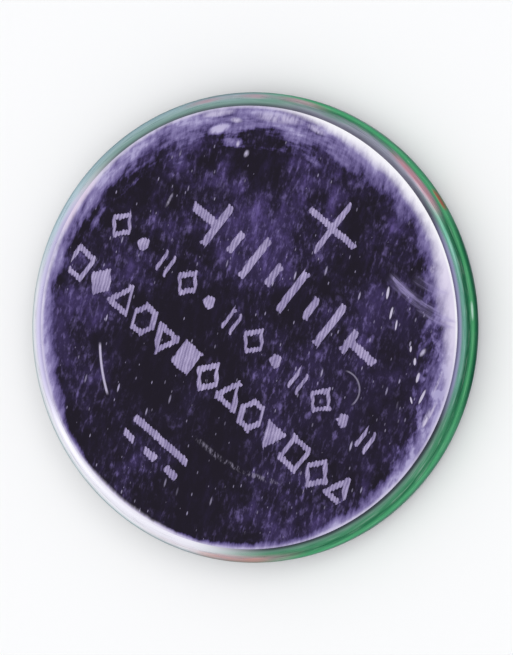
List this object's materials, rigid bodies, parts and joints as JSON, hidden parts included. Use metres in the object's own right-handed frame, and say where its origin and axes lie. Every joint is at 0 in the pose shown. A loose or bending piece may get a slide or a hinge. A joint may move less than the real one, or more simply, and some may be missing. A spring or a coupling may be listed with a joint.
{
  "type": "lithium coin cell",
  "caption": "Flat round lithium coin cell: a crimped steel can over a gasket and a stepped cap, with anode, separator and cathode inside.",
  "frame": {"origin": "centre of the negative cap's face, on which the cell lies", "axes": "+Z along the cell's axis, from the negative cap to the positive face"},
  "size_m": [0.02, 0.02, 0.0016],
  "materials": {
    "can_steel": "nickel-plated steel, polished wall, rubbed and scratched face",
    "gasket_plastic": "moulded polypropylene",
    "cap_steel": "satin stainless steel",
    "cathode_mix": "pressed manganese dioxide and graphite powder",
    "grid_steel": "punched stainless steel foil",
    "separator_felt": "felted polypropylene fibre",
    "lithium": "soft lithium metal, dull"
  },
  "bodies": {
    "root": {"positive_can": "can_steel", "gasket": "gasket_plastic", "negative_cap": "cap_steel", "cathode_pellet": "cathode_mix", "current_collector": "grid_steel", "separator": "separator_felt", "lithium_disc": "lithium"}
  },
  "joints": []
}
